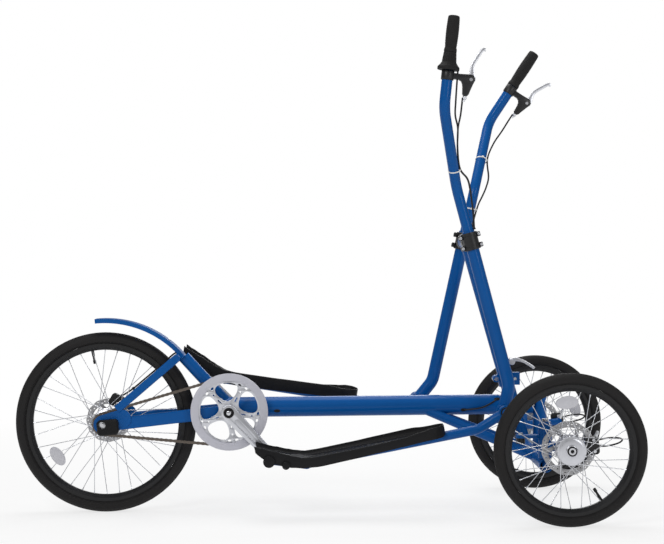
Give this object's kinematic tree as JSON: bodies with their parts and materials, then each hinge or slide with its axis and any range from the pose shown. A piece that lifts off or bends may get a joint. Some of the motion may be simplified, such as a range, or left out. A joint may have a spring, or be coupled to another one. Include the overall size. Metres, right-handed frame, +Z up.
{
  "type": "elliptical tricycle",
  "caption": "Stand-up elliptical tricycle: leaning mast steers the front wheels, swinging hand levers and long foot platforms turn a crank that drives the rear wheel.",
  "frame": {"origin": "on the ground under the middle of the whole length", "axes": "+X forward, +Y to the rider's left, +Z up"},
  "size_m": [1.6704, 0.711, 1.3203],
  "materials": {
    "blue_paint": "gloss blue paint",
    "tyre": "black rubber tyre",
    "black_alloy": "satin black rim",
    "bright_steel": "bright steel",
    "silver_alloy": "polished silver alloy",
    "black_plastic": "matte black moulding",
    "black_metal": "black anodised metal",
    "black_rubber": "soft black grip",
    "chain_steel": "dark oiled chain"
  },
  "bodies": {
    "frame": {"main_tube": "blue_paint", "rear_strut": "blue_paint", "rear_fender": "blue_paint", "right_chain_stay": "blue_paint", "left_chain_stay": "blue_paint", "right_seat_stay": "blue_paint", "left_seat_stay": "blue_paint", "rear_axle": "bright_steel", "hub_gear_box": "black_plastic", "rear_caliper": "black_metal", "chain": "chain_steel", "front_struts": "blue_paint", "front_beam": "blue_paint"},
    "crank": {"chainring": "silver_alloy", "crank_spindle": "bright_steel", "right_crank_arm": "silver_alloy", "left_crank_arm": "silver_alloy"},
    "mast": {"mast": "blue_paint", "mast_hinge": "blue_paint", "quick_release": "silver_alloy"},
    "tie_rod": {"tie_rod": "black_metal"},
    "rear_wheel": {"rear_tyre": "tyre", "rear_rim": "black_alloy", "rear_spokes": "bright_steel", "rear_hub": "silver_alloy"},
    "right_platform": {"right_carrier": "blue_paint", "right_footbed": "black_plastic"},
    "right_lever": {"right_lever_tube": "blue_paint", "right_upper_bar": "blue_paint", "right_clamp": "black_metal", "right_grip": "black_rubber", "right_brake_perch": "black_plastic", "right_brake_blade": "silver_alloy", "twist_shifter": "black_rubber"},
    "right_knuckle": {"right_knuckle": "blue_paint", "right_front_caliper": "black_metal"},
    "right_front_wheel": {"right_front_tyre": "tyre", "right_front_rim": "black_alloy", "right_front_spokes": "bright_steel", "right_front_hub": "silver_alloy"},
    "left_platform": {"left_carrier": "blue_paint", "left_footbed": "black_plastic"},
    "left_lever": {"left_lever_tube": "blue_paint", "left_upper_bar": "blue_paint", "left_clamp": "black_metal", "left_grip": "black_rubber", "left_brake_perch": "black_plastic", "left_brake_blade": "silver_alloy"},
    "left_knuckle": {"left_knuckle": "blue_paint", "left_front_caliper": "black_metal"},
    "left_front_wheel": {"left_front_tyre": "tyre", "left_front_rim": "black_alloy", "left_front_spokes": "bright_steel", "left_front_hub": "silver_alloy"}
  },
  "joints": [
    {"name": "rear_spin", "type": "hinge", "parent": "frame", "child": "rear_wheel", "pos_m": [-0.58825, 0, 0.247], "axis": [0, 1, 0], "continuous": true},
    {"name": "crank_turn", "type": "hinge", "parent": "frame", "child": "crank", "pos_m": [-0.24675, 0, 0.277], "axis": [0, -1, 0], "range_deg": [-30, 30]},
    {"name": "mast_lean", "type": "hinge", "parent": "frame", "child": "mast", "pos_m": [0.58575, 0, 0.284], "axis": [1, 0, 0], "range_deg": [-12, 12]},
    {"name": "tie_rod_slide", "type": "slide", "parent": "frame", "child": "tie_rod", "axis": [0, 1, 0], "range_m": [-0.0155, 0.0155]},
    {"name": "right_platform_pivot", "type": "hinge", "parent": "crank", "child": "right_platform", "pos_m": [-0.13627, -0.145, 0.15852], "axis": [0, -1, 0], "range_deg": [-35, 35]},
    {"name": "right_lever_swing", "type": "hinge", "parent": "mast", "child": "right_lever", "pos_m": [0.40775, -0.07, 0.7335], "axis": [0, -1, 0], "range_deg": [-10, 10]},
    {"name": "right_steer", "type": "hinge", "parent": "frame", "child": "right_knuckle", "pos_m": [0.58575, -0.235, 0.21], "axis": [0, 0, 1], "range_deg": [-14, 14]},
    {"name": "right_front_spin", "type": "hinge", "parent": "right_knuckle", "child": "right_front_wheel", "pos_m": [0.63775, -0.325, 0.1975], "axis": [0, 1, 0], "continuous": true},
    {"name": "left_platform_pivot", "type": "hinge", "parent": "crank", "child": "left_platform", "pos_m": [-0.35723, 0.145, 0.39548], "axis": [0, -1, 0], "range_deg": [-35, 35]},
    {"name": "left_lever_swing", "type": "hinge", "parent": "mast", "child": "left_lever", "pos_m": [0.40775, 0.07, 0.7335], "axis": [0, -1, 0], "range_deg": [-10, 10]},
    {"name": "left_steer", "type": "hinge", "parent": "frame", "child": "left_knuckle", "pos_m": [0.58575, 0.235, 0.21], "axis": [0, 0, 1], "range_deg": [-14, 14]},
    {"name": "left_front_spin", "type": "hinge", "parent": "left_knuckle", "child": "left_front_wheel", "pos_m": [0.63775, 0.325, 0.1975], "axis": [0, 1, 0], "continuous": true}
  ],
  "couplings": [
    {"joint": "tie_rod_slide", "follows": "mast_lean", "m_per_rad": 0.072},
    {"joint": "right_platform_pivot", "follows": "crank_turn", "ratio": -1.135},
    {"joint": "right_lever_swing", "follows": "crank_turn", "ratio": 0.285},
    {"joint": "right_steer", "follows": "mast_lean", "ratio": -1.125},
    {"joint": "left_platform_pivot", "follows": "crank_turn", "ratio": -0.7885},
    {"joint": "left_lever_swing", "follows": "crank_turn", "ratio": -0.2118},
    {"joint": "left_steer", "follows": "mast_lean", "ratio": -1.125}
  ]
}
